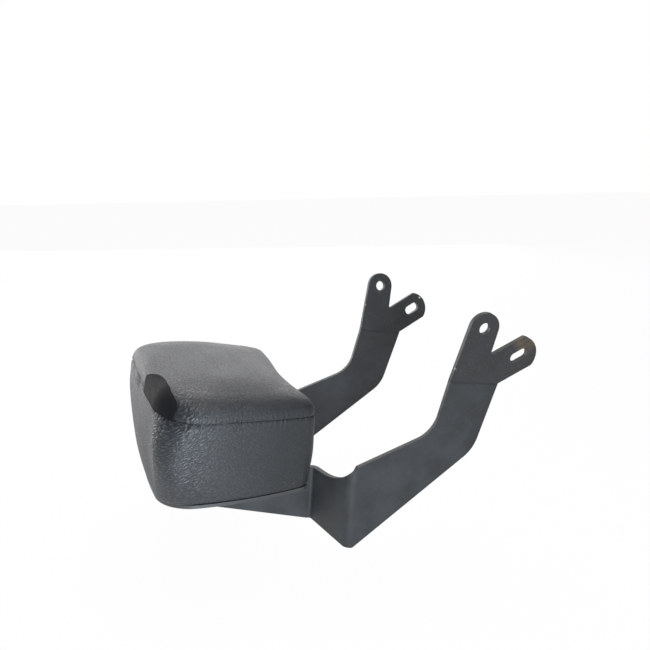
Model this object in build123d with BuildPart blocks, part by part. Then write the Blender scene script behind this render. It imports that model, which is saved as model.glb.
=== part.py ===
from build123d import *
from math import acos, atan2, cos, hypot, radians, sin, tan
import os

# Motorcycle backrest: a cushion on a board, carried by one folded sheet of steel whose two
# arms end in forks that bolt to the bike. It lies with the face of the cushion up.
# X runs from the top edge of the cushion towards the forks, Y across the bike, Z out of the
# cushion's face. The origin is midway between the two round bolt holes.

# steel sheet
SHEET = 5.0
INSIDE_BEND = 3.0
EDGE_ROUND = 0.5
ARM_SPAN = 210.0

# fork at the end of each arm, bent outwards along a slanting fold
FORK_LEAN = 8.8
FORK_FOLD_TILT = 8.8
HOLE_ABOVE_FOLD = 52.1
FOLD_TO_INSIDE = 19.7
FOLD_TO_OUTSIDE = 30.3
BOLT_HOLE = 11.0
HOLE_TAB_RADIUS = 14.5
HOLE_TAB_FOOT = 12.6
SLOT_WIDTH = 10.0
SLOT_LENGTH = 18.0
SLOT_X = 39.6
SLOT_Z = -29.5
SLOT_TILT = 25.5
SLOT_TAB_WIDTH = 31.2
SLOT_TAB_END_RADIUS = 18.5
NOTCH_RADIUS = 1.5

# arm, in side view
INNER_ELBOW = (-41.9, -94.7)
OUTER_ELBOW = (-0.7, -116.7)
INNER_ELBOW_RADIUS = 30.0
OUTER_ELBOW_RADIUS = 34.0

# joggle between arm and flange: two folds that lean together
FOLD_LEAN = 3.8
ARM_FOLD_X = -124.5
ARM_FOLD_Z = -157.5
FLANGE_SPAN = 96.0
JOGGLE_TURN = 75.4
ARM_FOLD_UP = 41.0
JOGGLE_UP = 32.0
ARM_FOLD_DOWN = 36.0
FLANGE_FOLD_UP = 19.0
FLANGE_FOLD_DOWN = 33.0
SCALLOP_END = 14.0
BEND_STEPS = 6

# flanges and centre plate behind the cushion
PLATE_TOP = -139.0
PLATE_LEFT = -262.0
PLATE_RIGHT = -158.0
FLANGE_SLOPE = 17.7
RELIEF_PAST_CUSHION = 1.0
RELIEF_DEPTH = 2.5

# screws that hold the cushion
SCREW_D = 6.0
SCREW_LENGTH = 20.0
HEAD_D = 10.5
HEAD_HEIGHT = 3.3
HEAD_RIM = 0.9
SOCKET_ACROSS = 4.0
SOCKET_DEPTH = 2.0
HOLE_PLAY = 0.3
THREAD_PLAY = 0.05
WASHER_D = 12.5
WASHER_THICK = 1.6
WASHER_TO_BEND = 6.75
SCREW_TO_PLATE_END = 22.0
NUT_FLANGE_D = 19.0
NUT_FLANGE_THICK = 1.5
NUT_BARREL_D = 8.0
NUT_BARREL_LENGTH = 8.0

# cushion: its outline at the board and at the seam, wider and rounder at the left end
BACKING_THICK = 3.0
BACKING_INSET = 0.6
COVER_THICK = 1.2
BOARD_THICK = 9.0
HEM_WIDTH = 18.0
BASE_LEFT = -282.0
BASE_RIGHT = -154.0
BASE_HALF_LEFT = 84.0
BASE_HALF_RIGHT = 86.5
BASE_CORNER = 38.0
SEAM_LEFT = -284.5
SEAM_RIGHT = -150.3
SEAM_HALF_LEFT = 105.0
SEAM_HALF_RIGHT = 93.5
SEAM_CORNER = 24.0
RIGHT_CORNER = 10.0
CORNER_FADE = 72.0
LEFT_CROWN = 6.0
END_CROWN = 7.0
SEAM_RISE_LEFT = 84.5
SEAM_RISE_RIGHT = 65.5
BAND_BULGE = 4.3
BAND_STEPS = 2
SHOULDER_INSET = 19.0
DOME_HEIGHT = 23.6
DOME_PROFILE = (
    (0, 0),
    (1.8, 8),
    (6, 13.2),
    (13, 16.6),
    (22, 18.6),
    (33, 20.9),
    (46, 22.9),
    (58, DOME_HEIGHT),
)

# staples through the hem
STAPLE_WIDTH = 10.0
STAPLE_LEG = 6.0
STAPLE_THICK = 0.6
STAPLE_WIRE = COVER_THICK
STAPLES = 18

# cloth tag caught in the seam, lying on the cushion's shoulder
TAG_THICK = 0.8
TAG_GAP = 0.3
TAG_LENGTH = 82.0
TAG_REACH = 17.0
TAG_FROM_END = 14.0

FOOT_OUTLINE = (BASE_LEFT, BASE_RIGHT, BASE_HALF_LEFT, BASE_HALF_RIGHT, BASE_CORNER)
SEAM_OUTLINE = (SEAM_LEFT, SEAM_RIGHT, SEAM_HALF_LEFT, SEAM_HALF_RIGHT, SEAM_CORNER)
CUSHION_X = (SEAM_LEFT + SEAM_RIGHT) / 2
BACKING_TOP = PLATE_TOP + BACKING_THICK
BOARD_BASE = BACKING_TOP + COVER_THICK
BOARD_TOP = BOARD_BASE + BOARD_THICK
PLATE_BASE = PLATE_TOP - SHEET
SCREW_HOLE = SCREW_D + 2 * HOLE_PLAY
SCREW_ROWS = FLANGE_SPAN - 2 * (SHEET + INSIDE_BEND + WASHER_TO_BEND) - WASHER_D
SCREW_COLUMNS = PLATE_RIGHT - PLATE_LEFT - 2 * SCREW_TO_PLATE_END
SCREW_CENTRE_X = (PLATE_LEFT + PLATE_RIGHT) / 2


def folded(plane, degrees):
    """the sheet's face after a fold about the plane's own X line

    The sheet lies behind its face and travels along the plane's Y. A positive angle folds
    towards the face, a negative one away from it."""
    height = INSIDE_BEND if degrees > 0 else -(SHEET + INSIDE_BEND)
    turn = radians(degrees)
    normal = plane.z_dir * cos(turn) - plane.y_dir * sin(turn)
    origin = plane.origin + (plane.z_dir - normal) * height
    return Plane(origin=origin, x_dir=plane.x_dir, z_dir=normal)


def moved(plane, x, y):
    """the same plane with its origin slid to a point on it"""
    return Plane(origin=plane.from_local_coords((x, y, 0)), x_dir=plane.x_dir, z_dir=plane.z_dir)


def bend(plane, degrees, low, high, high_end):
    """curved strip of a fold, between two heights on its line; the upper one may change"""
    with BuildPart() as strip:
        for step in range(BEND_STEPS + 1):
            share = step / BEND_STEPS
            face = folded(plane, degrees * share) if step else plane
            top = high + (high_end - high) * share
            with BuildSketch(Plane(origin=face.origin, x_dir=face.x_dir, z_dir=face.y_dir)):
                with BuildLine():
                    Polyline((low, 0), (top, 0), (top, SHEET), (low, SHEET), close=True)
                make_face()
        loft()
    return strip.part


# the outer face of the sheet beside each fold, on the near side
side_face = Plane.XZ.offset(ARM_SPAN / 2)
fold_up = Vector(sin(radians(FOLD_LEAN)), 0, cos(radians(FOLD_LEAN)))
half_turn = tan(radians(JOGGLE_TURN / 2))
arm_corner = Plane(
    origin=(ARM_FOLD_X, -ARM_SPAN / 2, ARM_FOLD_Z), x_dir=fold_up, z_dir=side_face.z_dir
)
arm_fold = moved(arm_corner, 0, -(SHEET + INSIDE_BEND) * half_turn)
joggle = folded(arm_fold, -JOGGLE_TURN)
joggle_depth = (ARM_SPAN - FLANGE_SPAN) / 2
joggle_length = joggle_depth / sin(radians(JOGGLE_TURN)) - (SHEET + 2 * INSIDE_BEND) * half_turn
flange_fold = moved(joggle, 0, joggle_length)
flange = folded(flange_fold, JOGGLE_TURN)
flange_face = Plane.XZ.offset(-flange.origin.Y)
plate_fold = Plane(
    origin=(0, flange.origin.Y, PLATE_BASE - INSIDE_BEND), x_dir=(1, 0, 0), z_dir=side_face.z_dir
)
plate_edge = folded(plate_fold, -90)

# the fork's outer face, with its origin at the round hole and its X level before the fold
fold_tilt = radians(FORK_FOLD_TILT)
lean = radians(FORK_LEAN)
fork_fold = Plane(
    origin=(-sin(fold_tilt) * HOLE_ABOVE_FOLD, -ARM_SPAN / 2, -cos(fold_tilt) * HOLE_ABOVE_FOLD),
    x_dir=(cos(fold_tilt), 0, -sin(fold_tilt)),
    z_dir=side_face.z_dir,
)
fork_root = folded(fork_fold, FORK_LEAN)
hole_up = (HOLE_ABOVE_FOLD - (INSIDE_BEND + SHEET / 2) * sin(lean)) / cos(lean)
fork_face = Plane(
    origin=fork_root.from_local_coords((0, hole_up, 0)),
    x_dir=fork_root.x_dir * cos(fold_tilt) + fork_root.y_dir * sin(fold_tilt),
    z_dir=fork_root.z_dir,
)


def fork_point(along_fold):
    """a point of the fork's root, in the fork's own coordinates"""
    point = fork_face.to_local_coords(fork_root.from_local_coords((along_fold, 0, 0)))
    return Vector(point.X, point.Y)


def arm_outline():
    """arm in side view, from the fork's fold to the fold of the joggle"""
    inside = fork_fold.from_local_coords((-FOLD_TO_INSIDE, 0, 0))
    outside = fork_fold.from_local_coords((FOLD_TO_OUTSIDE, 0, 0))
    top = arm_fold.from_local_coords((ARM_FOLD_UP, 0, 0))
    foot = arm_fold.from_local_coords((-ARM_FOLD_DOWN, 0, 0))
    with BuildSketch(side_face) as outline:
        with BuildLine():
            Polyline(
                (inside.X, inside.Z),
                INNER_ELBOW,
                (top.X, top.Z),
                (foot.X, foot.Z),
                OUTER_ELBOW,
                (outside.X, outside.Z),
                close=True,
            )
        make_face()
        fillet(outline.vertices().sort_by_distance(INNER_ELBOW)[0], INNER_ELBOW_RADIUS)
        fillet(outline.vertices().sort_by_distance(OUTER_ELBOW)[0], OUTER_ELBOW_RADIUS)
    return outline.sketch


def tab_touch(point, side):
    """where a line from a point of the fork's root touches the round end of the hole's tab"""
    turn = atan2(point.Y, point.X) + side * acos(HOLE_TAB_RADIUS / hypot(point.X, point.Y))
    return (HOLE_TAB_RADIUS * cos(turn), HOLE_TAB_RADIUS * sin(turn))


def fork_outline():
    """two tabs side by side, one for the round hole and one for the slot"""
    tab = Plane.XY.rotated((0, 0, SLOT_TILT))
    inside, middle, outside = (
        fork_point(place) for place in (-FOLD_TO_INSIDE, HOLE_TAB_FOOT, FOLD_TO_OUTSIDE)
    )
    slot = tab.to_local_coords(Vector(SLOT_X, SLOT_Z))
    low = tab.to_local_coords(outside).Y
    high = low + SLOT_TAB_WIDTH
    with BuildSketch() as tab_end:
        with Locations((SLOT_X, SLOT_Z)):
            Circle(SLOT_TAB_END_RADIUS)
        with Locations(tab.from_local_coords((slot.X, (low + high) / 2, 0))):
            Rectangle(
                SLOT_TAB_END_RADIUS,
                SLOT_TAB_WIDTH,
                rotation=SLOT_TILT,
                align=(Align.MIN, Align.CENTER),
                mode=Mode.INTERSECT,
            )
    with BuildSketch(fork_face) as outline:
        Circle(HOLE_TAB_RADIUS)
        with BuildLine():
            Polyline(
                (inside.X, inside.Y),
                tab_touch(inside, -1),
                tab_touch(middle, 1),
                (middle.X, middle.Y),
                close=True,
            )
        make_face()
        with BuildLine():
            Polyline(
                (middle.X, middle.Y),
                (outside.X, outside.Y),
                tab.from_local_coords((slot.X, low, 0)),
                tab.from_local_coords((slot.X, high, 0)),
                tab.from_local_coords((-HOLE_TAB_RADIUS, high, 0)),
                close=True,
            )
        make_face()
        add(tab_end.sketch)
        notch = outline.vertices().sort_by_distance(tab.from_local_coords((0, high, 0)))[0]
        fillet(notch, NOTCH_RADIUS)
    return outline.sketch


def joggle_outline():
    """panel between the two folds, its upper edge scooped out"""
    with BuildSketch(joggle) as outline:
        with BuildLine():
            edge = Polyline(
                (JOGGLE_UP, 0),
                (-ARM_FOLD_DOWN, 0),
                (-FLANGE_FOLD_DOWN, joggle_length),
                (FLANGE_FOLD_UP, joggle_length),
                (FLANGE_FOLD_UP, joggle_length - SCALLOP_END),
            )
            TangentArc(edge @ 1, edge @ 0, tangent=edge % 1)
        make_face()
    return outline.sketch


def flange_outline():
    """flange beside the centre plate, tapering away from the joggle, with a notch at its fold"""
    top = flange.from_local_coords((FLANGE_FOLD_UP, 0, 0))
    foot = flange.from_local_coords((-FLANGE_FOLD_DOWN, 0, 0))
    rise = (foot.X - PLATE_LEFT) * tan(radians(FLANGE_SLOPE))
    fold_z = plate_fold.origin.Z
    with BuildSketch(flange_face) as outline:
        with BuildLine():
            Polyline(
                (top.X, top.Z),
                (BASE_RIGHT + RELIEF_PAST_CUSHION, top.Z),
                (BASE_RIGHT + RELIEF_PAST_CUSHION, fold_z - RELIEF_DEPTH),
                (PLATE_RIGHT, fold_z - RELIEF_DEPTH),
                (PLATE_RIGHT, fold_z),
                (PLATE_LEFT, fold_z),
                (PLATE_LEFT, foot.Z + rise),
                (foot.X, foot.Z),
                close=True,
            )
        make_face()
    return outline.sketch


with BuildPart() as bolt_holes:
    with BuildSketch(fork_face):
        Circle(BOLT_HOLE / 2)
        with Locations((SLOT_X, SLOT_Z)):
            SlotOverall(SLOT_LENGTH, SLOT_WIDTH, rotation=SLOT_TILT)
    extrude(amount=-SHEET)
    mirror(about=Plane.XZ)

with BuildPart() as bracket:
    for outline in (fork_outline(), arm_outline(), joggle_outline(), flange_outline()):
        extrude(outline, amount=-SHEET)
    add(bend(fork_fold, FORK_LEAN, -FOLD_TO_INSIDE, FOLD_TO_OUTSIDE, FOLD_TO_OUTSIDE))
    add(bend(arm_fold, -JOGGLE_TURN, -ARM_FOLD_DOWN, ARM_FOLD_UP, JOGGLE_UP))
    add(bend(flange_fold, JOGGLE_TURN, -FLANGE_FOLD_DOWN, FLANGE_FOLD_UP, FLANGE_FOLD_UP))
    add(bend(plate_fold, -90, PLATE_LEFT, PLATE_RIGHT, PLATE_RIGHT))
    with BuildSketch(Plane.XY.offset(PLATE_TOP)):
        with Locations((PLATE_LEFT, plate_edge.origin.Y)):
            Rectangle(PLATE_RIGHT - PLATE_LEFT, -plate_edge.origin.Y, align=(Align.MIN, Align.MIN))
    extrude(amount=-SHEET)
    mirror(about=Plane.XZ)
    # the arms, the forks and the joggles' feet have rounded edges
    arm_inside = ARM_SPAN / 2 - SHEET - EDGE_ROUND
    joggle_foot = ARM_FOLD_Z - ARM_FOLD_DOWN / 2
    rounded = bracket.edges().filter_by(
        lambda edge: abs(edge.center().Y) > arm_inside or edge.center().Z < joggle_foot
    )
    fillet(rounded, EDGE_ROUND)
    add(bolt_holes.part, mode=Mode.SUBTRACT)
    with BuildSketch(Plane.XY.offset(PLATE_TOP)):
        with Locations((SCREW_CENTRE_X, 0)):
            with GridLocations(SCREW_COLUMNS, SCREW_ROWS, 2, 2):
                Circle(SCREW_HOLE / 2)
    extrude(amount=-SHEET, mode=Mode.SUBTRACT)


def cushion_section(share, rise=0.0, inset=0.0):
    """outline of the cushion across one level: the board's foot at share 0, the seam at share 1

    The level slants with the seam, a rise lifts it off that slant, and an inset draws the
    outline in."""
    fall = share * (SEAM_RISE_LEFT - SEAM_RISE_RIGHT) / (SEAM_RIGHT - SEAM_LEFT)
    height = BACKING_TOP + share * (SEAM_RISE_LEFT + SEAM_RISE_RIGHT) / 2
    level = Plane(origin=(CUSHION_X, 0, height), x_dir=(1, 0, -fall), z_dir=(fall, 0, 1))
    left, right, half_left, half_right, corner = (
        foot + (seam - foot) * share for foot, seam in zip(FOOT_OUTLINE, SEAM_OUTLINE)
    )
    start = left - CUSHION_X + inset
    end = right - CUSHION_X - inset
    near_start = (start, inset - half_left)
    near_end = (end, inset - half_right)
    far_start = (start, half_left - inset)
    far_end = (end, half_right - inset)
    side = (half_left + half_right) / 2 + END_CROWN - inset
    rounding = 1 - inset / CORNER_FADE
    with BuildSketch(level.offset(rise)) as section:
        with BuildLine():
            ThreePointArc(near_start, ((start + end) / 2, -side), near_end)
            Line(near_end, far_end)
            ThreePointArc(far_end, ((start + end) / 2, side), far_start)
            ThreePointArc(far_start, (start - LEFT_CROWN, 0), near_start)
        make_face()
        fillet(section.vertices().sort_by(Axis.X)[:2], corner * rounding)
        fillet(section.vertices().sort_by(Axis.X)[-2:], RIGHT_CORNER * rounding)
    return section.sketch


def cushion_band(inset, mode):
    """the cushion's barrel shaped sides, from the board's foot up to the seam"""
    shares = [step / BAND_STEPS for step in range(BAND_STEPS + 1)]
    sections = [
        cushion_section(share, inset=inset - 4 * share * (1 - share) * BAND_BULGE)
        for share in shares
    ]
    loft(sections, mode=mode)


def cushion_dome(inset, mode):
    """the cushion's shoulder and crown, from the seam up"""
    sections = []
    for drawn_in, rise in DOME_PROFILE:
        turn = radians(90) * min(1, drawn_in / SHOULDER_INSET)
        sections.append(
            cushion_section(1, rise=rise - inset * sin(turn), inset=drawn_in + inset * cos(turn))
        )
    loft(sections, mode=mode)


def at_screws(height):
    """the four places where a screw goes through, at one height"""
    return [
        Location((SCREW_CENTRE_X + column * SCREW_COLUMNS / 2, row * SCREW_ROWS / 2, height))
        for column in (-1, 1)
        for row in (-1, 1)
    ]


def slab(low, high, inset, mode=Mode.ADD):
    """straight sided layer with the outline of the cushion's foot"""
    extrude(
        cushion_section(0, rise=low - BACKING_TOP, inset=inset), amount=high - low, mode=mode
    )


def post(diameter, low, high, mode=Mode.ADD):
    """a round post or hole at each screw, between two heights"""
    with Locations(*at_screws(low)):
        Cylinder(
            diameter / 2,
            high - low,
            align=(Align.CENTER, Align.CENTER, Align.MIN),
            mode=mode,
        )


def staple_frames():
    """middle of each staple's crown: its X along the hem, its Z up"""
    hem = cushion_section(0, inset=HEM_WIDTH / 2).face().outer_wire()
    frames = []
    for place in range(STAPLES):
        share = (2 * place + 1) / (2 * STAPLES)
        spot = hem.position_at(share)
        along = hem.tangent_at(share)
        frames.append(Plane(origin=spot, x_dir=along, z_dir=(0, 0, 1)).location)
    return frames


def staple_legs(mode):
    """both legs of every staple"""
    with Locations(*staple_frames()):
        with Locations(
            (-(STAPLE_WIDTH - STAPLE_WIRE) / 2, 0), ((STAPLE_WIDTH - STAPLE_WIRE) / 2, 0)
        ):
            Box(
                STAPLE_WIRE,
                STAPLE_THICK,
                STAPLE_LEG,
                align=(Align.CENTER, Align.CENTER, Align.MIN),
                mode=mode,
            )


def staple_crowns(mode):
    """crown of every staple, sunk into the hem"""
    with Locations(*staple_frames()):
        Box(
            STAPLE_WIDTH,
            STAPLE_THICK,
            STAPLE_WIRE,
            align=(Align.CENTER, Align.CENTER, Align.MIN),
            mode=mode,
        )


with BuildPart() as backing_plate:
    slab(PLATE_TOP, BACKING_TOP, BACKING_INSET)
    post(SCREW_HOLE, PLATE_TOP, BACKING_TOP, Mode.SUBTRACT)

with BuildPart() as board:
    slab(BOARD_BASE, BOARD_TOP, COVER_THICK)
    post(NUT_BARREL_D, BOARD_BASE, BOARD_TOP, Mode.SUBTRACT)
    staple_legs(Mode.SUBTRACT)

with BuildPart() as foam:
    cushion_band(COVER_THICK, Mode.ADD)
    cushion_dome(COVER_THICK, Mode.ADD)
    split(bisect_by=Plane.XY.offset(BOARD_TOP), keep=Keep.TOP)
    post(NUT_FLANGE_D, BOARD_TOP, BOARD_TOP + NUT_FLANGE_THICK, Mode.SUBTRACT)

with BuildPart() as band_hollow:
    cushion_band(COVER_THICK, Mode.ADD)
    split(bisect_by=Plane.XY.offset(BOARD_BASE), keep=Keep.TOP)
    slab(BACKING_TOP, BOARD_BASE, HEM_WIDTH)
    staple_crowns(Mode.ADD)

with BuildPart() as side_band:
    cushion_band(0, Mode.ADD)
    add(band_hollow.part, mode=Mode.SUBTRACT)

with BuildPart() as top_panel:
    cushion_dome(0, Mode.ADD)
    cushion_dome(COVER_THICK, Mode.SUBTRACT)

with BuildPart() as seam_tag:
    cushion_dome(-TAG_GAP - TAG_THICK, Mode.ADD)
    cushion_dome(-TAG_GAP, Mode.SUBTRACT)
    extrude(
        cushion_section(1, inset=TAG_REACH), amount=2 * DOME_HEIGHT, both=True, mode=Mode.SUBTRACT
    )
    with Locations((SEAM_LEFT, TAG_FROM_END - SEAM_HALF_LEFT, BACKING_TOP)):
        Box(
            2 * TAG_REACH,
            TAG_LENGTH,
            2 * (SEAM_RISE_LEFT + DOME_HEIGHT),
            align=(Align.CENTER, Align.MIN, Align.CENTER),
            mode=Mode.INTERSECT,
        )

with BuildPart() as hem_staples:
    staple_legs(Mode.ADD)
    staple_crowns(Mode.ADD)

with BuildPart() as tee_nuts:
    post(NUT_FLANGE_D, BOARD_TOP, BOARD_TOP + NUT_FLANGE_THICK)
    post(NUT_BARREL_D, BOARD_TOP - NUT_BARREL_LENGTH, BOARD_TOP)
    post(
        SCREW_D + 2 * THREAD_PLAY,
        BOARD_TOP - NUT_BARREL_LENGTH,
        BOARD_TOP + NUT_FLANGE_THICK,
        Mode.SUBTRACT,
    )

with BuildPart() as screw_washers:
    post(WASHER_D, PLATE_BASE - WASHER_THICK, PLATE_BASE)
    post(SCREW_HOLE, PLATE_BASE - WASHER_THICK, PLATE_BASE, Mode.SUBTRACT)

# a button head screw: low domed head with a hex socket, its axis on Z, its head's seat at 0
with BuildPart() as pad_screw:
    Cylinder(SCREW_D / 2, SCREW_LENGTH, align=(Align.CENTER, Align.CENTER, Align.MIN))
    Cylinder(HEAD_D / 2, HEAD_HEIGHT, align=(Align.CENTER, Align.CENTER, Align.MAX))
    fillet(pad_screw.edges().group_by(Axis.Z)[0], HEAD_HEIGHT - HEAD_RIM)
    with BuildSketch(Plane.XY.offset(-HEAD_HEIGHT)):
        RegularPolygon(SOCKET_ACROSS / 2, 6, major_radius=False)
    extrude(amount=SOCKET_DEPTH, mode=Mode.SUBTRACT)

with BuildPart() as pad_screws:
    with Locations(*at_screws(PLATE_BASE - WASHER_THICK)):
        add(pad_screw.part)

os.makedirs("parts", exist_ok=True)
nodes = {
    "bracket": bracket,
    "backing_plate": backing_plate,
    "board": board,
    "foam": foam,
    "side_band": side_band,
    "top_panel": top_panel,
    "seam_tag": seam_tag,
    "hem_staples": hem_staples,
    "tee_nuts": tee_nuts,
    "screw_washers": screw_washers,
    "pad_screws": pad_screws,
}
for name, node in nodes.items():
    node.part.label = name
    export_step(node.part, f"parts/{name}.step")
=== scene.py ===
import math

import bpy
import numpy as np
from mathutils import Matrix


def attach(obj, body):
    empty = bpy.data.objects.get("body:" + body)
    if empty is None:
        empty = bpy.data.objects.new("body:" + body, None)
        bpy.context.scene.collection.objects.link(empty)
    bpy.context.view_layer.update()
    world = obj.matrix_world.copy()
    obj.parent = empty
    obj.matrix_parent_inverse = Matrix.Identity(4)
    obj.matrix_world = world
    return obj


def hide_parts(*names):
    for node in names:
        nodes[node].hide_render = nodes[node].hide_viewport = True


# Motorcycle backrest: a leatherette cushion on a folded steel bracket. The nodes of the CAD model
# keep their shapes and get materials. The cushion's cover, its foam and its cloth tag are made
# here, as surfaces in millimetres in the CAD model's own frame.

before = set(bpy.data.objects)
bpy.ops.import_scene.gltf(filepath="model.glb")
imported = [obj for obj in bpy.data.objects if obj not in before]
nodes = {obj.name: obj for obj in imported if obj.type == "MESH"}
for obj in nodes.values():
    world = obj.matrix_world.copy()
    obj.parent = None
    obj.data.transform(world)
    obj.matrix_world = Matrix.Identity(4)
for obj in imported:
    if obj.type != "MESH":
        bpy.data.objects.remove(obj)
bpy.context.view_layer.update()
MM = 0.001

# cushion: its middle, the back of its board, and its outlines at the foot and at the seam
CUSHION_X = -217.4
CUSHION_HALF = 66.0
BACK_Z = -136.0
FOOT = dict(left=-282.0, right=-154.0, half_left=84.0, half_right=86.5, corner=21.0, crown=6.0)
SEAM = dict(left=-284.0, right=-148.0, half_left=105.0, half_right=94.5, corner=31.0, crown=4.0)

# outline: corners, bow of the near and far sides, slant of the left side, and points
RIGHT_CORNER = 10.0
RIGHT_CORNER_GROWTH = 0.8
RIGHT_CORNER_GROWN = 22.0
CORNER_FADE = 72.0
LEAST_ROUNDING = 0.05
CORNER_PINCH = 0.4
END_CROWN = 7.0
LEFT_SKEW = 2.8
SIDE_POINTS = 96
CORNER_POINTS = 50
CLOSING_STEP = 1.0

# side band: its height and bulge, and the bulge's share on the right side and in the left crown
BAND_HEIGHT = 72.0
BAND_BULGE = 3.4
RIGHT_BULGE = 0.2
CROWN_BULGE = 0.5

# side band's first rings, from the hem's inner edge round the foot: share of the way up, rise
# and inset; then the shares of its other rings
FOOT_RINGS = ((0, 0, 18.0), (0, 0, 8), (0, 0, 2.9), (0.005, 0, 1.6), (0.012, 0, 0.8), (0.022, 0, 0.3))
BAND_SHARES = np.concatenate([np.linspace(0.042, 0.93, 31), np.linspace(0.945, 1, 9)])

# seam: heights over the board's back at its left and right, unevenness, and the groove there
SEAM_RISE_LEFT = 84.5
SEAM_RISE_RIGHT = 65.5
SEAM_TILT = 1.5
SEAM_SAG_NEAR = 2.5
SEAM_SAG_FAR = 1.0
SEAM_ARCH = 2.5
SEAM_DEPTH = 1.3
SEAM_ROLL = 1.9

# right side, drawn in and dropped between its corners
DENT_IN = 4.5
DENT_DROP = 4.5
DENT_Y = -10.0
DENT_WIDTH = 48.0
DENT_FADE = 50.0

# top panel: its profile from the seam inwards, and the rings that close it at the crown
DOME_INSETS = np.array([0, 0.4, 0.9, 1.8, 3.5, 6, 9, 13, 17, 22, 27, 33, 39, 46, 52, 58.0])
DOME_RISES = np.array(
    [0, 2.6, 5.2, 8.0, 10.8, 13.2, 15.1, 16.6, 17.7, 18.6, 19.7, 20.9, 21.9, 22.9, 23.4, 23.6]
)
DOME_WALKED = np.concatenate(
    [[0], np.cumsum(np.hypot(np.diff(DOME_INSETS), np.diff(DOME_RISES)))]
)
DOME_RINGS = 56
DOME_CROWDING = 1.5
CROWN_RINGS = 13
CROWN_CROWDING = 0.9
CROWN_DRAWN = 0.995
CROWN_LIFT = 0.9

# cover: thickness, puckers beside the seam, which are calmer to the right, and unevenness
COVER = 1.1
PUCKER_COUNTS = (110, 190)
PUCKER_WEIGHTS = (0.4, 1)
PUCKER_SEED = 3
PUCKER_DEPTH = 0.5
PUCKER_START = 1.2
PUCKER_REACH = 3.5
PUCKER_CALM = 0.55
PUCKER_CALM_X = -240.0
PUCKER_CALM_WIDTH = 50.0
BROAD_DEPTH = 0.5
BROAD_WAVE = (19, 27, 17)
SHORT_DEPTH = 0.25
SHORT_WAVE = (9, 13, 8)
UNEVEN_FROM_SEAM = 20.0
UNEVEN_FROM_FOOT = 15.0

# foam: its gap under the cover, which turns from sideways to downwards over the shoulder
FOAM_GAP = 1.7
FOAM_SHOULDER = 8.0
FOAM_FOOT = 0.14
FOAM_RINGS = 24

# tag: where it starts on the left side, flat size, lean, lift off the cover, and points
TAG_SIDE_X = -255.0
TAG_START_Y = -33.0
TAG_LENGTH = 68.0
TAG_REACH = 21.5
TAG_TAPER = 9.0
TAG_LEAN = 3.0
TAG_CLEARANCE = 0.75
TAG_LIFT = 3.0
TAG_LIFT_POWER = 2.5
TAG_RIPPLE = 0.25
TAG_RIPPLE_TURN = 11.0
TAG_THICKNESS = 0.7
TAG_POINTS = (70, 28)
TAG_FIELD = 40.0
TAG_FIELD_STEP = 0.5

# camera, fitted to the two arms, and the lamps' common aim, in metres and degrees
CAMERA_PLACE = (-0.3363, -0.6247, 0.1468)
CAMERA_TILT = 76.46
CAMERA_TURN = -20.05
CAMERA_LENS = 38.77
LAMP_AIM = (-0.15, 0, -0.1)
COOL = (0.8, 0.9, 1)

# floor, in millimetres
FLOOR_Z = -260.0
FLOOR_HALF = 6000.0

# where the leatherette wrinkles, at the near left corner, and where it is calm, on the right of
# the near side: each change's start and end, in the direction named
WRINKLED_LEFTWARDS = (212, 262)
WRINKLED_NEARWARDS = (60, 88)
CALM_RIGHTWARDS = (-225, -185)
CALM_NEARWARDS = (70, 95)

# heights on the bracket between which the dust sets in
DUSTY_UPWARDS = (-110, -20)

# places of the wear on the bracket, and of the fine line of painted shade along the fold of its forks
FORK_FOLD_TILT = math.radians(8.8)
FORK_FOLD_DOWN = 52.1
RUBBED_PLACE = (46.0, -107.5, -17.0)
RUBBED_RADIUS = 15
NICKS = (
    ((-23.5, -105.5, -36.6), 1.7),
    ((-16.5, -106.0, -30.7), 0.8),
    ((50.7, 106.5, -16.8), 1.6),
    ((-20.7, 105.0, -20.5), 1.3),
    ((-23.0, 105.0, -33.4), 1.2),
    ((-25.3, 105.0, -52.3), 1.4),
)

# colours of the leatherette, with painted shade in its creases and painted glints on its raised
# grain, of the steel's coat and its wear, and of the tag's threads
CREASE_SHADE_BLACK = (0.008, 0.009, 0.010)
RAISED_GLINT_BLACK = (0.038, 0.041, 0.047)
DUST_GREY = (0.2, 0.2, 0.2)
COAT_BLACK = (0.021, 0.022, 0.024)
SMOKY_BLACK = (0.043, 0.046, 0.050)
FORK_BLACK = (0.017, 0.0165, 0.016)
# painted shade along the fold of the forks
FOLD_SHADE_BLACK = (0.006, 0.006, 0.006)
DUST_BROWN = (0.13, 0.10, 0.08)
RUBBED_DARK = (0.08, 0.049, 0.027)
RUBBED_PALE = (0.19, 0.13, 0.075)
BARE_METAL = (0.45, 0.44, 0.42)
THREAD_DARK = (0.003, 0.003, 0.004)
THREAD_PALE = (0.010, 0.010, 0.012)

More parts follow.
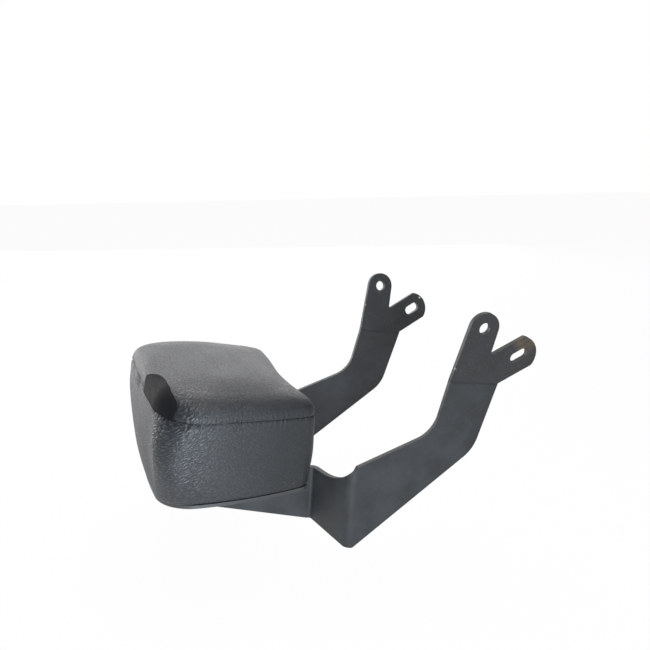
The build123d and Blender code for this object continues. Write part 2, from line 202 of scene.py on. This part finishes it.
# plain finishes: two shades of the colour, and the grain's scale per millimetre and depth
GREY_WIRE = ((0.5, 0.5, 0.5), (0.7, 0.7, 0.7))
PALE_ZINC = ((0.45, 0.45, 0.43), (0.62, 0.61, 0.58))
RAW_WOOD = ((0.35, 0.22, 0.11), (0.6, 0.45, 0.28))
PALE_FOAM = ((0.5, 0.47, 0.36), (0.72, 0.68, 0.55))
BLACK_SHEET = ((0.03, 0.03, 0.03), (0.06, 0.06, 0.06))
BLACK_STEEL = ((0.02, 0.02, 0.02), (0.04, 0.04, 0.04))
PLAIN_FINISHES = dict(
    zinc=dict(shades=PALE_ZINC, roughness=0.35, scale=0.5, depth=0.03, metallic=1.0),
    backing_sheet=dict(shades=BLACK_SHEET, roughness=0.4, scale=0.8, depth=0.05),
    plywood=dict(shades=RAW_WOOD, roughness=0.7, scale=0.15, depth=0.1),
    staple_wire=dict(shades=GREY_WIRE, roughness=0.35, scale=1.0, depth=0.02, metallic=1.0),
    black_screw=dict(shades=BLACK_STEEL, roughness=0.4, scale=1.2, depth=0.03),
    foam=dict(shades=PALE_FOAM, roughness=0.85, scale=0.9, depth=0.5),
)
PLAIN_NODES = dict(
    backing_plate="backing_sheet",
    board="plywood",
    hem_staples="staple_wire",
    tee_nuts="zinc",
    screw_washers="zinc",
    pad_screws="black_screw",
)


def hump(share):
    """Parabola of a share: 0 at both ends and 1 half way."""
    return 4 * share * (1 - share)


def outline(left, right, half_left, half_right, corner, right_corner, crown, skew):
    """Rounded four sided outline, walked from the right side's far end round by the far side.

    It is made of straight lines and corner arcs and then warped. The near and far sides bow
    outwards by a parabola of the share along them. The left side bows by a parabola of the share
    across and slants by the skew, and both fade out over the quarter beside it. Returns x, y and
    the distance walked."""
    corners = np.array(
        [[right, half_right], [left, half_left], [left, -half_left], [right, -half_right]]
    )
    ahead = np.roll(corners, -1, axis=0) - corners
    ahead /= np.linalg.norm(ahead, axis=1)[:, None]
    behind = np.roll(ahead, 1, axis=0)
    arcs = []
    for place, radius in enumerate((right_corner, corner, corner, right_corner)):
        back, forth = behind[place], ahead[place]
        turn = math.acos(float(back @ forth))
        start = corners[place] - back * radius * math.tan(turn / 2)
        normal = np.array([-back[1], back[0]])
        angles = np.linspace(0, turn, CORNER_POINTS)[:, None]
        arcs.append(start + radius * (back * np.sin(angles) + normal * (1 - np.cos(angles))))
    steps = np.linspace(0, 1, SIDE_POINTS + 2)[1:-1, None]
    points = []
    for arc, following in zip(arcs, arcs[1:] + arcs[:1]):
        points += [arc, arc[-1] * (1 - steps) + following[0] * steps]
    x, y = np.concatenate(points).T
    along = (x - left) / (right - left)
    half = half_left + (half_right - half_left) * along
    beside = np.clip(1 - 4 * along, 0, 1)
    warped_y = y * (1 + END_CROWN * hump(along) / half)
    warped_x = x - (crown * (1 - (y / half) ** 2) + skew * y / half) * beside
    gaps = np.hypot(np.roll(warped_x, -1) - warped_x, np.roll(warped_y, -1) - warped_y)
    return warped_x, warped_y, np.concatenate([[0], np.cumsum(gaps)[:-1]])


def level(share, rise, inset, bulge=0.0):
    """One ring of the cushion, at a share of the way from the board's foot to the seam.

    Sizes are blended by the share, drawn in by the inset, laid on the slanting level and lifted
    off it by the rise. The bulge moves the ring outwards, less towards the right side. The seam
    sags at the two left corners and arches between them. The right side draws in and drops by a
    bell curve of the place along it, which fades to the left by a square. Returns the ring and
    each point's share of the way round."""
    size = {key: FOOT[key] + (SEAM[key] - FOOT[key]) * share for key in FOOT}
    rounding = max(LEAST_ROUNDING, 1 - inset / CORNER_FADE)
    x, y, walked = outline(
        size["left"] + inset - bulge,
        size["right"] - inset + bulge * RIGHT_BULGE,
        size["half_left"] - inset + bulge,
        size["half_right"] - inset + bulge * RIGHT_BULGE,
        size["corner"] * rounding * (1 - CORNER_PINCH * hump(share)),
        RIGHT_CORNER * rounding + RIGHT_CORNER_GROWTH * np.clip(inset, 0, RIGHT_CORNER_GROWN),
        size["crown"] + CROWN_BULGE * bulge,
        LEFT_SKEW * share,
    )
    fall = share * (SEAM_RISE_LEFT - SEAM_RISE_RIGHT) / (SEAM["right"] - SEAM["left"])
    middle = BACK_Z + share * (SEAM_RISE_LEFT + SEAM_RISE_RIGHT) / 2
    slant = math.hypot(1, fall)
    rightwards = np.clip(1 + (x - size["right"]) / DENT_FADE, 0, 1) ** 2
    dent = share * rightwards * np.exp(-(((y - DENT_Y) / DENT_WIDTH) ** 2))
    across = (x - CUSHION_X - DENT_IN * dent) / slant
    leftwards = np.clip(-across / CUSHION_HALF, 0, 1)
    cornerwards = np.clip(np.abs(y) / size["half_left"] * 2 - 1, 0, 1) ** 2
    sag = np.where(y > 0, SEAM_SAG_FAR, SEAM_SAG_NEAR)
    arched = leftwards * (SEAM_ARCH - (SEAM_ARCH + sag) * cornerwards)
    uneven = SEAM_TILT * across / CUSHION_HALF + arched
    height = middle - across * fall + rise / slant + share**2 * uneven - DENT_DROP * dent
    ring = np.stack([CUSHION_X + across + rise * fall / slant, y, height], axis=1)
    return ring, walked / (walked[-1] + CLOSING_STEP)


def rings(levels):
    """Stack of rings, one for each level, and each point's share of the way round."""
    made = [level(*one) for one in levels]
    return np.stack([ring for ring, _ in made]), np.stack([turn for _, turn in made])


def bulge_at(share):
    """Outward bulge of the side: a parabola of the share of the way up, highest half way."""
    return BAND_BULGE * hump(share)


def dome_profile(distances):
    """Inset and rise of the dome at distances walked up its profile from the seam."""
    inset = np.interp(distances, DOME_WALKED, DOME_INSETS)
    rise = np.interp(distances, DOME_WALKED, DOME_RISES)
    return inset, rise


def side_levels():
    """Levels of the side band from the hem's inner edge to the seam.

    The hem lies flat, the foot turns up in a small quarter circle, the side bulges, and the last
    millimetres turn in to the seam by an exponential."""
    levels = list(FOOT_RINGS)
    for share in BAND_SHARES:
        turned = SEAM_DEPTH * math.exp(-(1 - share) * BAND_HEIGHT / SEAM_ROLL)
        levels.append((share, 0, turned, bulge_at(share)))
    return levels


def dome_levels():
    """Levels of the top panel from the seam to the crown, close together beside the seam, where
    they turn in by an exponential."""
    walked = np.linspace(0, 1, DOME_RINGS) ** DOME_CROWDING * DOME_WALKED[-1]
    inset, rise = dome_profile(walked)
    turned = SEAM_DEPTH * np.exp(-walked / SEAM_ROLL)
    return [(1, up, into) for up, into in zip(rise, inset + turned)]


def wander(turn, counts, seed):
    """Closed uneven wave round the cushion: cosines of every whole count in a range, each with
    its own phase and weight, scaled to a spread of one."""
    rng = np.random.default_rng(seed)
    counts = np.arange(counts[0], counts[1] + 1)
    phases = rng.uniform(0, 2 * np.pi, counts.size)
    weights = rng.uniform(*PUCKER_WEIGHTS, counts.size)
    waves = np.cos(2 * np.pi * turn[..., None] * counts + phases) * weights
    return waves.sum(-1) / np.sqrt((weights**2).sum() / 2)


def close_crown(grid, turn):
    """Draws the last ring together, nearly to a point, by a power of the share of the way, with a
    lift that grows by a parabola."""
    shares = np.linspace(0, 1, CROWN_RINGS + 1)[1:, None, None] ** CROWN_CROWDING
    lift = np.zeros((CROWN_RINGS, 1, 3))
    lift[:, 0, 2] = CROWN_LIFT * (1 - (1 - shares[:, 0, 0]) ** 2)
    drawn = shares * CROWN_DRAWN
    inner = grid[-1][None] * (1 - drawn) + grid[-1].mean(0) * drawn + lift
    repeated = np.repeat(turn[-1:], CROWN_RINGS, axis=0)
    return np.concatenate([grid, inner]), np.concatenate([turn, repeated])


def cover_relief(grid, turn, seam_row, foot_row=None):
    """Height of the puckers and the unevenness over the smooth cover.

    The puckers are the uneven wave: it starts beside the seam and fades away from it, both by
    exponentials, and is shallower to the right. The unevenness is a broad and a short wave of
    sines of the place, which grow in from the seam, and from the foot where there is one."""
    steps = np.linalg.norm(np.diff(grid, axis=0), axis=2)
    walked = np.concatenate([np.zeros((1, grid.shape[1])), np.cumsum(steps, axis=0)])
    away = np.abs(walked - walked[seam_row])
    x, y, z = np.moveaxis(grid, -1, 0)
    calm = PUCKER_CALM * np.clip((x - PUCKER_CALM_X) / PUCKER_CALM_WIDTH, 0, 1)
    fade = np.exp(-away / PUCKER_REACH) * (1 - np.exp(-away / PUCKER_START))
    puckers = wander(turn, PUCKER_COUNTS, PUCKER_SEED) * fade * PUCKER_DEPTH * (1 - calm)
    broad = np.sin(x / BROAD_WAVE[0] + z / BROAD_WAVE[2]) * np.sin(y / BROAD_WAVE[1] + 1)
    short = np.sin(x / SHORT_WAVE[0] - y / SHORT_WAVE[1] + z / SHORT_WAVE[2])
    uneven = BROAD_DEPTH * broad + SHORT_DEPTH * short
    uneven = uneven * np.clip(away / UNEVEN_FROM_SEAM, 0, 1)
    if foot_row is not None:
        uneven = uneven * np.clip((walked - walked[foot_row]) / UNEVEN_FROM_FOOT, 0, 1)
    return puckers + uneven


def surface_normals(grid):
    """Unit normals of a grid closed round its second axis: the cross product of its two slopes."""
    round_it = np.roll(grid, -1, axis=1) - np.roll(grid, 1, axis=1)
    up_it = np.gradient(grid, axis=0)
    normal = np.cross(round_it, up_it, axis=2)
    return normal / np.maximum(np.linalg.norm(normal, axis=2), 1e-9)[..., None]


def grid_faces(rows, columns, closed=True):
    """Four sided faces of a grid of points, closed round its columns where asked."""
    row, column = np.meshgrid(
        np.arange(rows - 1), np.arange(columns if closed else columns - 1), indexing="ij"
    )
    nearby = (column + 1) % columns
    faces = np.stack(
        [
            row * columns + column,
            row * columns + nearby,
            (row + 1) * columns + nearby,
            (row + 1) * columns + column,
        ],
        axis=-1,
    )
    return faces.reshape(-1, 4)


def make_piece(name, points, faces, caps=()):
    """Mesh object at the origin, from points in millimetres, faces, and rings closed by one face."""
    mesh = bpy.data.meshes.new(name)
    mesh.from_pydata((points * MM).tolist(), [], faces.tolist() + list(caps))
    mesh.validate()
    mesh.shade_smooth()
    piece = bpy.data.objects.new(name, mesh)
    bpy.context.scene.collection.objects.link(piece)
    return piece


def thicken(piece, thickness, offset):
    """Gives a sheet its wall, in millimetres: inwards at an offset of -1, both ways at 0."""
    wall = piece.modifiers.new("solidify", "SOLIDIFY")
    wall.thickness = thickness * MM
    wall.offset = offset


def photo_camera():
    """Camera at the photograph's viewing angle."""
    data = bpy.data.cameras.new("photo_camera")
    data.lens = CAMERA_LENS
    data.sensor_width = 36
    data.clip_start = 0.01
    data.clip_end = 50
    camera = bpy.data.objects.new("photo_camera", data)
    camera.location = CAMERA_PLACE
    camera.rotation_euler = (math.radians(CAMERA_TILT), 0, math.radians(CAMERA_TURN))
    bpy.context.scene.collection.objects.link(camera)
    bpy.context.scene.camera = camera
    bpy.context.scene.view_settings.view_transform = "Standard"


def lamp(name, place, aim, size, power, colour=(1, 1, 1)):
    """Square soft lamp at a place, turned towards its aim, both in metres."""
    data = bpy.data.lights.new(name, "AREA")
    data.shape = "SQUARE"
    data.size = size
    data.energy = power
    data.color = colour
    piece = bpy.data.objects.new(name, data)
    piece.location = place
    away = np.array(aim, float) - np.array(place, float)
    piece.rotation_euler = (
        math.atan2(math.hypot(away[0], away[1]), -away[2]),
        0,
        math.atan2(-away[0], away[1]),
    )
    bpy.context.scene.collection.objects.link(piece)
    return piece


class Value:
    """A socket of a graph. Arithmetic on it adds Math nodes."""

    def __init__(self, graph, socket):
        self.graph = graph
        self.socket = socket

    def _math(self, operation, first, second=0.0):
        return self.graph.node(
            "ShaderNodeMath", dict(operation=operation), {0: first, 1: second}
        )

    def __add__(self, other):
        return self._math("ADD", self, other)

    __radd__ = __add__

    def __sub__(self, other):
        return self._math("SUBTRACT", self, other)

    def __rsub__(self, other):
        return self._math("SUBTRACT", other, self)

    def __mul__(self, other):
        return self._math("MULTIPLY", self, other)

    __rmul__ = __mul__

    def __truediv__(self, other):
        return self._math("DIVIDE", self, other)

    def __neg__(self):
        return self * -1

    def sine(self):
        return self._math("SINE", self)

    def ramp(self, start, end):
        """0 below start, 1 above end, smooth between."""
        return self.graph.node(
            "ShaderNodeMapRange",
            dict(interpolation_type="SMOOTHSTEP"),
            {"Value": self, "From Min": start, "From Max": end},
        )


class Graph:
    """A tree of shader nodes."""

    def __init__(self, tree):
        self.tree = tree

    def node(self, kind, settings=None, inputs=None, out=0):
        """Adds a node with its settings and its sockets' values or links. Gives back one output,
        or the list of all of them where out is None."""
        made = self.tree.nodes.new(kind)
        for key, value in (settings or {}).items():
            setattr(made, key, value)
        for key, value in (inputs or {}).items():
            self.link(made.inputs[key], value)
        if out is None:
            return [Value(self, output) for output in made.outputs]
        return Value(self, made.outputs[out])

    def link(self, socket, value):
        """Links a value to a socket, or sets the socket to a constant."""
        if isinstance(value, Value):
            self.tree.links.new(value.socket, socket)
        else:
            socket.default_value = value


class Finish(Graph):
    """A material with its Principled shader, and the place on the object in millimetres."""

    def __init__(self, name, **constants):
        self.material = bpy.data.materials.new(name)
        self.material.use_nodes = True
        super().__init__(self.material.node_tree)
        self.shader = self.tree.nodes["Principled BSDF"]
        self.set(**constants)
        place = self.node("ShaderNodeTexCoord", out="Object")
        self.mm = self.node(
            "ShaderNodeMapping", inputs={"Vector": place, "Scale": (1000, 1000, 1000)}
        )

    def set(self, **inputs):
        """Sets or links the shader's inputs, named with underscores for their spaces."""
        for key, value in inputs.items():
            self.link(self.shader.inputs[key.replace("_", " ")], value)

    def axes(self, vector=None):
        """The three parts of a vector, or of the place in millimetres."""
        return self.node("ShaderNodeSeparateXYZ", inputs={0: vector or self.mm}, out=None)

    def noise(self, scale, detail=3, rough=0.5, where=None):
        """Cloudy noise, with the scale per millimetre."""
        return self.node(
            "ShaderNodeTexNoise",
            inputs={
                "Vector": where or self.mm,
                "Scale": scale,
                "Detail": detail,
                "Roughness": rough,
            },
        )

    def creases(self, where, scale, width):
        """0 on the edges of irregular cells and 1 from a width inside them."""
        cells = self.node(
            "ShaderNodeTexVoronoi",
            dict(feature="DISTANCE_TO_EDGE"),
            {"Vector": where, "Scale": scale},
        )
        return cells.ramp(0.0, width)

    def spot(self, centre, radius, ragged=0.5):
        """1 inside a ragged round spot of the radius about a point, 0 outside."""
        gap = self.node(
            "ShaderNodeVectorMath", dict(operation="DISTANCE"), {0: self.mm, 1: centre}, "Value"
        )
        edge = self.noise(1.6 / radius, 4) * ragged * 2 - ragged
        return 1 - (gap / radius + edge).ramp(0.55, 1)

    def stretched(self, where, turn, lengths):
        """Coordinates turned about the Y axis and divided by three lengths, which draws a
        pattern out along them."""
        return self.node(
            "ShaderNodeMapping",
            dict(vector_type="TEXTURE"),
            {"Vector": where, "Rotation": (0, turn, 0), "Scale": lengths},
        )

    def mix(self, factor, first, second):
        """Blend of two colours."""
        colours = [one if isinstance(one, Value) else (*one, 1) for one in (first, second)]
        return self.node(
            "ShaderNodeMix", dict(data_type="RGBA"), {0: factor, 6: colours[0], 7: colours[1]}, 2
        )

    def bump(self, height, distance):
        """Normal of a height given in millimetres times the distance."""
        inputs = {"Height": height, "Distance": distance * MM, "Strength": 1.0}
        self.set(Normal=self.node("ShaderNodeBump", inputs=inputs))


def leatherette():
    """Black grained cover: pebbles and fine cells parted by creases, calm on the right of the near
    side, with longer slanting wrinkles in their place at the near left corner. Its colour follows
    the grain, with painted shade in the creases and painted glints on the raised grain. A little
    dust lies on it."""
    finish = Finish("leatherette", IOR=1.5, Specular_IOR_Level=0.6)
    drift = finish.noise(0.02, 3)
    sway = finish.node("ShaderNodeTexNoise", inputs={"Vector": finish.mm, "Scale": 0.3}, out=1)
    bent = finish.node(
        "ShaderNodeVectorMath",
        dict(operation="MULTIPLY_ADD"),
        {0: sway, 1: (1.1, 1.1, 1.1), 2: finish.mm},
    )
    drawn = finish.stretched(bent, -0.5, (2.8, 2.8, 1))
    x, y, _ = finish.axes()
    at_corner = (-x).ramp(*WRINKLED_LEFTWARDS) * (-y).ramp(*WRINKLED_NEARWARDS)
    pebbles = finish.creases(bent, 0.40, 0.34)
    fine = finish.creases(bent, 0.95, 0.25)
    wrinkles = finish.creases(drawn, 0.46, 0.34)
    calm = 1 - x.ramp(*CALM_RIGHTWARDS) * (-y).ramp(*CALM_NEARWARDS) * 0.65
    pebbled = (pebbles * 0.55 + fine * 0.3) * calm * (1 - at_corner * 0.7)
    grain = pebbled + wrinkles * at_corner * 0.65
    finish.bump(grain + finish.noise(2.4, 2) * 0.1, 0.48)
    dust = finish.noise(0.9, 1).ramp(0.69, 0.75) * drift.ramp(0.45, 0.6) * 0.5
    # painted shade in the creases and painted glints on the raised grain: the colour follows the
    # grain
    grain_shade_and_glint = finish.mix(grain, CREASE_SHADE_BLACK, RAISED_GLINT_BLACK)
    finish.set(
        Base_Color=finish.mix(dust, grain_shade_and_glint, DUST_GREY),
        Roughness=0.56 - grain * 0.18 + drift * 0.08 - at_corner * 0.14,
    )
    return finish.material


def coated_steel():
    """Satin black coat: smoky, with brown dust, mostly on the forks, rubbed to brown round the
    near slot, nicked to bare metal on its edges, and grooved along the fold of the forks, with
    the fold line darkened as painted shade."""
    finish = Finish("coated_steel", IOR=1.5)
    x, y, z = finish.axes()
    peel = finish.noise(0.9, 3, 0.6)
    cloud = finish.noise(0.035, 4, 0.55).ramp(0.3, 0.72)
    streaks = finish.stretched(finish.mm, -0.44, (9, 1, 1))
    scuffs = finish.noise(0.4, 4, 0.7, streaks).ramp(0.3, 0.6)
    rubbed = finish.spot(RUBBED_PLACE, RUBBED_RADIUS, 0.3) * scuffs
    bare = sum(finish.spot(place, size) for place, size in NICKS)
    raised = z.ramp(*DUSTY_UPWARDS)
    dust = finish.noise(0.34, 4).ramp(0.6, 0.74) * (0.08 + raised * 0.28)
    past_fold = x * math.sin(FORK_FOLD_TILT) + z * math.cos(FORK_FOLD_TILT) + FORK_FOLD_DOWN
    # painted shade: a fine dark line along the fold of the forks, also pressed in as a groove by the
    # bump
    fold_groove_and_shade = 1 - (past_fold * past_fold).ramp(0.1, 1.2)
    smoke = finish.mix(cloud, COAT_BLACK, SMOKY_BLACK)
    coat = finish.mix(raised * 0.6, smoke, FORK_BLACK)
    dusty = finish.mix(dust, coat, DUST_BROWN)
    folded = finish.mix(fold_groove_and_shade * 0.45, dusty, FOLD_SHADE_BLACK)
    rubbed_brown = finish.mix(peel, RUBBED_DARK, RUBBED_PALE)
    worn = finish.mix(rubbed * 0.75, folded, rubbed_brown)
    finish.set(
        Base_Color=finish.mix(bare, worn, BARE_METAL),
        Roughness=0.44 + peel * 0.08 + cloud * 0.1,
    )
    finish.bump(peel + finish.noise(3.0, 2) * 0.3 - rubbed * 0.5 - bare - fold_groove_and_shade * 2, 0.10)
    return finish.material


def woven_cloth():
    """Dark tag cloth: fine threads both ways, read from the tag's own flat coordinates."""
    finish = Finish("woven_cloth", Specular_IOR_Level=0.12)
    flat = finish.node("ShaderNodeUVMap", dict(uv_map="weave"))
    along, across, _ = finish.axes(flat)
    radians_per_metre = 9000
    weave = (along * radians_per_metre).sine() * (across * radians_per_metre).sine()
    threads = weave * 0.5 + 0.5
    finish.bump(threads, 0.12)
    finish.set(
        Base_Color=finish.mix(threads, THREAD_DARK, THREAD_PALE),
        Roughness=0.75 - threads * 0.1,
    )
    return finish.material


def plain(name, shades, roughness, scale, depth, metallic=0.0):
    """Material between two shades of one colour, with a fine grain."""
    finish = Finish(name, Metallic=metallic)
    grain = finish.noise(scale, 4, 0.6)
    finish.bump(grain, depth)
    finish.set(Base_Color=finish.mix(grain, *shades), Roughness=roughness - 0.05 + grain * 0.1)
    return finish.material


def studio_floor():
    """White floor that the camera sees near full white, with the object's shadow kept faint."""
    finish = Finish("studio_floor", Base_Color=(0.8, 0.8, 0.8, 1), Roughness=0.9)
    camera_ray = finish.node("ShaderNodeLightPath", out="Is Camera Ray")
    glossy_ray = finish.node("ShaderNodeLightPath", out="Is Glossy Ray")
    glow = finish.node("ShaderNodeEmission", inputs={"Color": (1, 1, 1, 1), "Strength": 1.0})
    shaded = Value(finish, finish.shader.outputs[0])
    seen = finish.node(
        "ShaderNodeMixShader", inputs={0: camera_ray * 0.96 + glossy_ray * 0.5, 1: shaded, 2: glow}
    )
    finish.link(finish.tree.nodes["Material Output"].inputs[0], seen)
    return finish.material


def studio_world():
    """Dim even light on the object, and plain white where the camera looks past it."""
    world = bpy.data.worlds.new("studio")
    bpy.context.scene.world = world
    world.use_nodes = True
    graph = Graph(world.node_tree)
    graph.tree.nodes.clear()
    soft = graph.node("ShaderNodeBackground", inputs={0: (0.92, 0.95, 1, 1), 1: 0.16})
    white = graph.node("ShaderNodeBackground", inputs={0: (1, 1, 1, 1), 1: 1.0})
    camera_ray = graph.node("ShaderNodeLightPath", out="Is Camera Ray")
    seen = graph.node("ShaderNodeMixShader", inputs={0: camera_ray, 1: soft, 2: white})
    graph.node("ShaderNodeOutputWorld", inputs={0: seen}, out=None)


def dress(piece, material):
    """Gives a piece its material."""
    piece.data.materials.clear()
    piece.data.materials.append(material)


def enlist(piece, material, node):
    """Gives a new piece its material and body, and hides the CAD node it replaces."""
    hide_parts(node)
    dress(piece, material)
    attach(piece, "root")


def foam_piece(material):
    """Foam under the cover: the cover's own levels, drawn in or dropped by the gap, and closed
    at the crown and above the board."""
    levels = []
    for share in np.linspace(FOAM_FOOT, 1, FOAM_RINGS):
        levels.append((share, 0, FOAM_GAP, bulge_at(share)))
    for inset, rise in zip(DOME_INSETS[1:], DOME_RISES[1:]):
        over = min(1, inset / FOAM_SHOULDER)
        levels.append((1, rise - FOAM_GAP * over, inset + FOAM_GAP * (1 - over)))
    grid, _ = rings(levels)
    rows, columns = grid.shape[:2]
    caps = [list(range((rows - 1) * columns, rows * columns)), list(range(columns))[::-1]]
    piece = make_piece("foam_core", grid.reshape(-1, 3), grid_faces(rows, columns), caps)
    enlist(piece, material, "foam")


def cover_piece(name, grid, relief, caps, leather, node):
    """Piece of the cover: a smooth grid raised by its relief along its normals, with a wall."""
    raised = grid + surface_normals(grid) * relief[..., None]
    piece = make_piece(name, raised.reshape(-1, 3), grid_faces(*grid.shape[:2]), caps)
    thicken(piece, COVER, -1)
    enlist(piece, leather, node)


def side_cover(leather):
    """Side band, from the hem's inner edge to the seam."""
    grid, turn = rings(side_levels())
    relief = cover_relief(grid, turn, seam_row=-1, foot_row=len(FOOT_RINGS))
    cover_piece("side_cover", grid, relief, [], leather, "side_band")


def top_cover(leather):
    """Top panel, from the seam to the crown, where a small face closes it."""
    grid, turn = close_crown(*rings(dome_levels()))
    relief = cover_relief(grid, turn, seam_row=0)
    rows, columns = grid.shape[:2]
    caps = [list(range((rows - 1) * columns, rows * columns))]
    cover_piece("top_cover", grid, relief, caps, leather, "top_panel")


def tag_piece():
    """Cloth tag caught in the seam and lying over the shoulder.

    It follows the dome a little above it. Its width is a parabola of the share along the seam,
    its free edge leans back more towards its start, and its lift grows with a power of the share
    across it, with a sine ripple along it."""
    inset, rise = dome_profile(np.arange(0, TAG_FIELD, TAG_FIELD_STEP))
    surface, _ = rings([(1, up, into) for up, into in zip(rise, inset)])
    away = surface_normals(surface)
    seam = surface[0]
    gone = np.concatenate([[0], np.cumsum(np.linalg.norm(np.diff(seam, axis=0), axis=1))])
    start = gone[np.argmax((seam[:, 0] < TAG_SIDE_X) & (seam[:, 1] < TAG_START_Y))]
    along, across = np.meshgrid(*(np.linspace(0, 1, points) for points in TAG_POINTS))
    width = TAG_REACH - TAG_TAPER * (1 - 2 * along) ** 2
    walk = start + along * TAG_LENGTH - TAG_LEAN * across * (1 - along)
    column = np.interp(walk, gone, np.arange(gone.size))
    row = across * width / TAG_FIELD_STEP
    low_row, low_column = row.astype(int), column.astype(int)
    up, on = (row - low_row)[..., None], (column - low_column)[..., None]

    def between(field):
        """The field's value between four of its points."""
        near = field[low_row, low_column] * (1 - on) + field[low_row, low_column + 1] * on
        far = field[low_row + 1, low_column] * (1 - on) + field[low_row + 1, low_column + 1] * on
        return near * (1 - up) + far * up

    ripple = TAG_RIPPLE * np.sin(along * TAG_RIPPLE_TURN) * across
    lift = TAG_CLEARANCE + TAG_LIFT * across**TAG_LIFT_POWER + ripple
    points = between(surface) + between(away) * lift[..., None]
    piece = make_piece("tag", points.reshape(-1, 3), grid_faces(*along.shape, closed=False))
    uv = piece.data.uv_layers.new(name="weave")
    corners = np.array([corner.vertex_index for corner in piece.data.loops])
    flat = np.stack([along * TAG_LENGTH, row * TAG_FIELD_STEP], axis=-1).reshape(-1, 2)
    uv.data.foreach_set("uv", (flat[corners] * MM).ravel())
    thicken(piece, TAG_THICKNESS, 0)
    enlist(piece, woven_cloth(), "seam_tag")


def floor_piece():
    """Wide floor well below the object, shown in the pictures only."""
    sides = np.array([[-1, -1, 0], [1, -1, 0], [1, 1, 0], [-1, 1, 0]])
    points = sides * FLOOR_HALF + np.array([0, 0, FLOOR_Z])
    piece = make_piece("floor", points, np.array([[0, 1, 2, 3]]))
    dress(piece, studio_floor())


photo_camera()
lamp("back_lamp", (0.35, 2.1, 0.75), LAMP_AIM, size=2.4, power=44)
lamp("top_lamp", (-0.1, -0.45, 1.3), LAMP_AIM, size=1.0, power=14)
lamp("left_lamp", (-1.1, 1.4, 0.2), LAMP_AIM, size=1.2, power=22)
lamp("front_lamp", (-0.1, -1.25, 0.12), LAMP_AIM, size=0.4, power=7.5, colour=COOL)

# small lamp low in front, whose narrow beam brightens the near side beside its left corner
low_lamp = lamp("low_lamp", (-0.34, -0.4, -0.185), (-0.28, -0.1, -0.09), 0.14, 0.2, COOL)
low_lamp.data.spread = math.radians(76)
low_lamp.visible_camera = False

finishes = {name: plain(name, **look) for name, look in PLAIN_FINISHES.items()}
for node, finish in PLAIN_NODES.items():
    dress(nodes[node], finishes[finish])
dress(nodes["bracket"], coated_steel())

leather = leatherette()
foam_piece(finishes["foam"])
side_cover(leather)
top_cover(leather)
tag_piece()

floor_piece()
studio_world()
